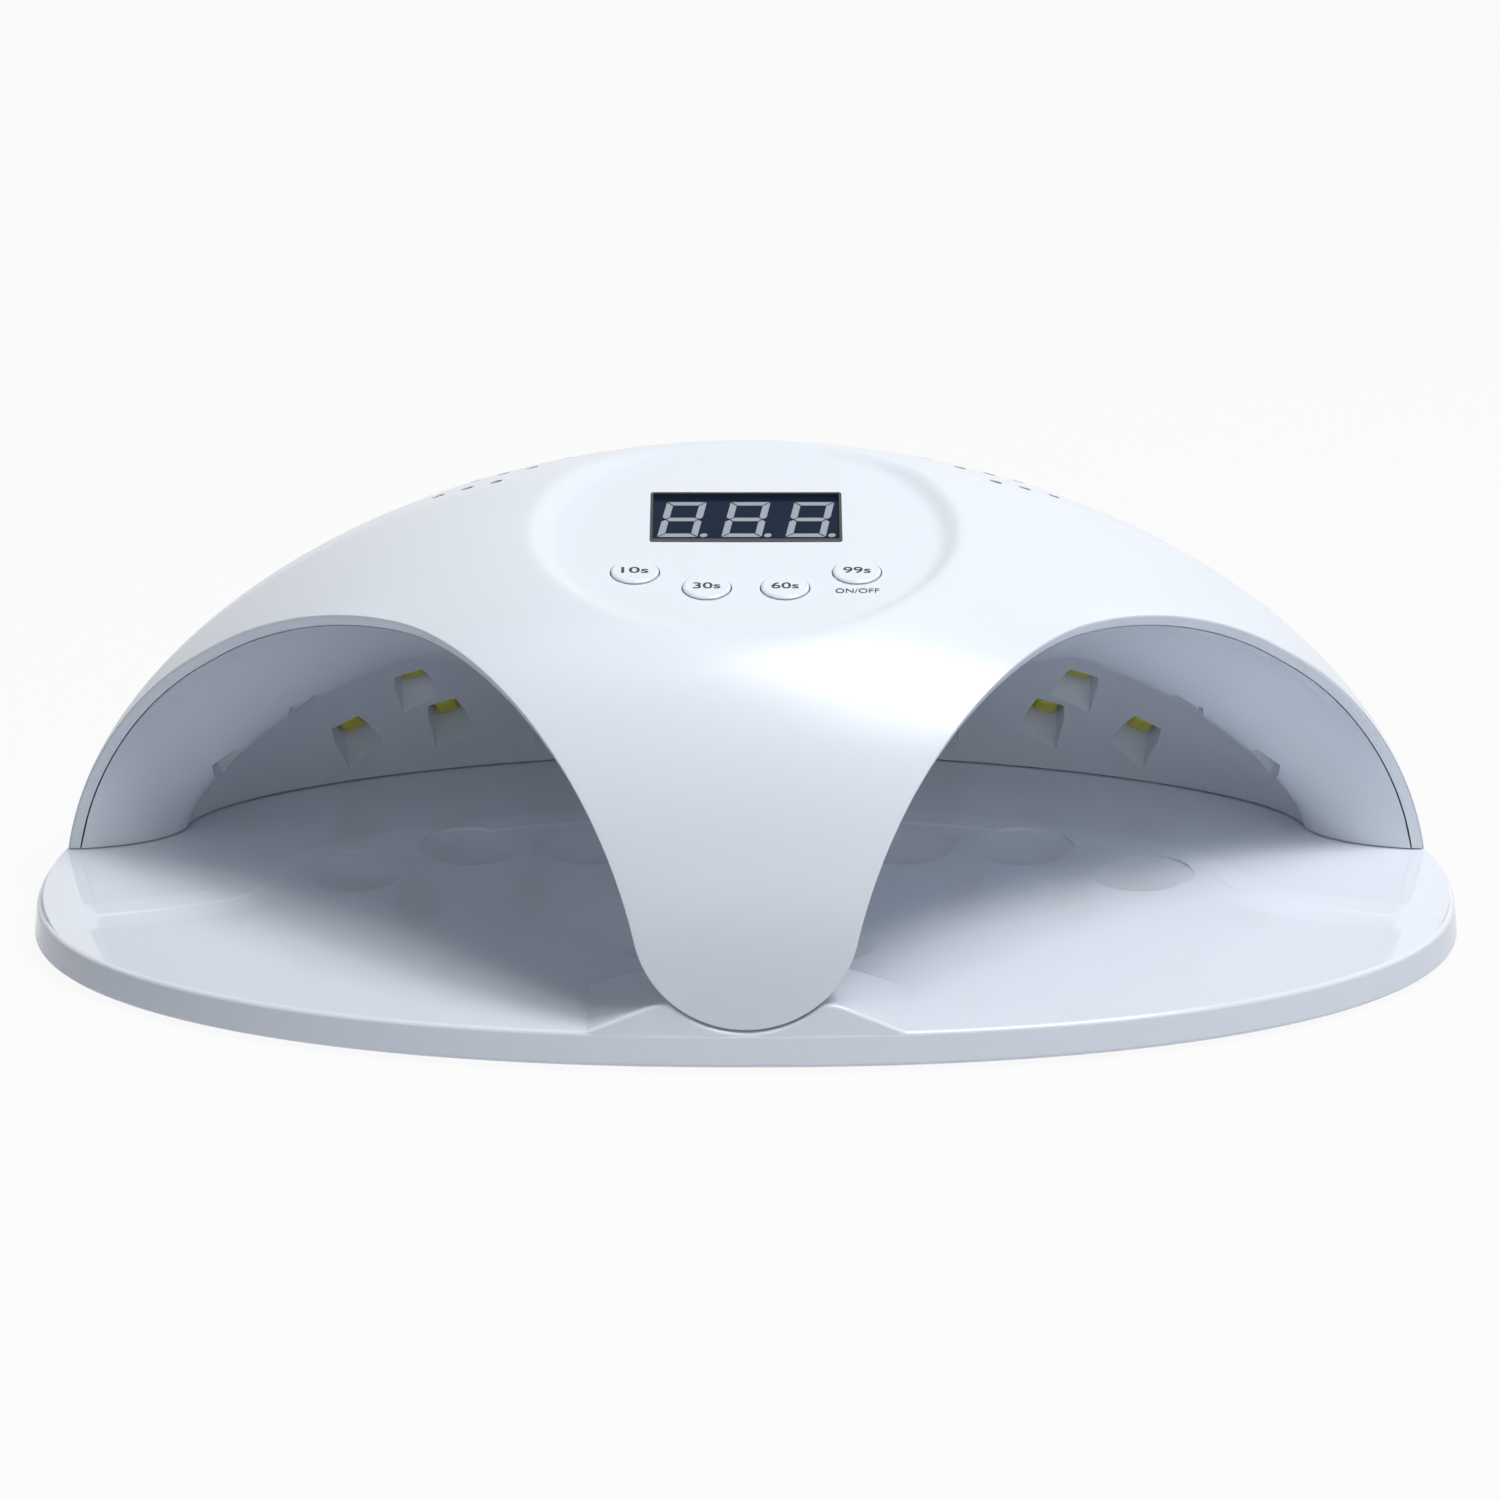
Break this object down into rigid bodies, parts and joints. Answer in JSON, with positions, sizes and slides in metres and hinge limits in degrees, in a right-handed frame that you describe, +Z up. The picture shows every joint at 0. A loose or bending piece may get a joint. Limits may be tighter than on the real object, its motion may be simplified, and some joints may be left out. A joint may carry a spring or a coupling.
{
  "type": "uv led nail lamp",
  "caption": "Two-hand LED nail curing lamp: a glossy white arched housing with a sloping control panel and display, on a loose base tray.",
  "frame": {"origin": "on the table, in the middle of the footprint", "axes": "+X to the user's right, -Y towards the user, +Z up"},
  "size_m": [0.29, 0.18, 0.0947],
  "materials": {
    "shell_white": "smooth glossy white moulding",
    "tray_white": "smooth semi-gloss white moulding",
    "reflector_white": "glossy white inner moulding, slightly reflective",
    "key_white": "satin white key cap with black numbers",
    "foot_rubber": "matt dark rubber",
    "plain_steel": "plain bright steel",
    "magnet_nickel": "nickel plated",
    "board_green": "green solder mask",
    "component_black": "black moulded packages",
    "display_dark": "dark navy window, smooth",
    "segment_grey": "unlit translucent grey segments",
    "plunger_grey": "pale grey stem",
    "led_board_white": "white solder mask",
    "led_yellow": "yellow phosphor, smooth",
    "inlet_black": "black moulded inlet",
    "cable_black": "black sleeved wires",
    "cable_white": "white sleeved wires"
  },
  "bodies": {
    "tray": {"base_tray": "tray_white", "rubber_feet": "foot_rubber", "tray_discs": "plain_steel"},
    "housing": {"outer_shell": "shell_white", "inner_reflector": "reflector_white", "housing_magnets": "magnet_nickel", "reflector_screws": "plain_steel", "control_board": "board_green", "board_components": "component_black", "board_screws": "plain_steel", "display_module": "display_dark", "display_segments": "segment_grey", "tact_switches": "component_black", "led_boards_left": "led_board_white", "led_boards_right": "led_board_white", "led_chips_left": "led_yellow", "led_chips_right": "led_yellow", "dc_jack": "inlet_black", "dc_cable": "cable_black", "led_cable_left": "cable_white", "led_cable_right": "cable_white"},
    "button_10s": {"key_10s": "key_white", "plunger_10s": "plunger_grey"},
    "button_30s": {"key_30s": "key_white", "plunger_30s": "plunger_grey"},
    "button_60s": {"key_60s": "key_white", "plunger_60s": "plunger_grey"},
    "button_99s": {"key_99s": "key_white", "plunger_99s": "plunger_grey"}
  },
  "joints": [
    {"name": "housing_lift", "type": "slide", "parent": "tray", "child": "housing", "axis": [0, 0, 1], "range_m": [0, 0.06]},
    {"name": "press_10s", "type": "slide", "parent": "housing", "child": "button_10s", "axis": [0, 0.2079, -0.9781], "range_m": [0, 0.0005], "stiffness_N_per_m": 800, "springref_m": -0.001},
    {"name": "press_30s", "type": "slide", "parent": "housing", "child": "button_30s", "axis": [0, 0.2079, -0.9781], "range_m": [0, 0.0005], "stiffness_N_per_m": 800, "springref_m": -0.001},
    {"name": "press_60s", "type": "slide", "parent": "housing", "child": "button_60s", "axis": [0, 0.2079, -0.9781], "range_m": [0, 0.0005], "stiffness_N_per_m": 800, "springref_m": -0.001},
    {"name": "press_99s", "type": "slide", "parent": "housing", "child": "button_99s", "axis": [0, 0.2079, -0.9781], "range_m": [0, 0.0005], "stiffness_N_per_m": 800, "springref_m": -0.001}
  ]
}
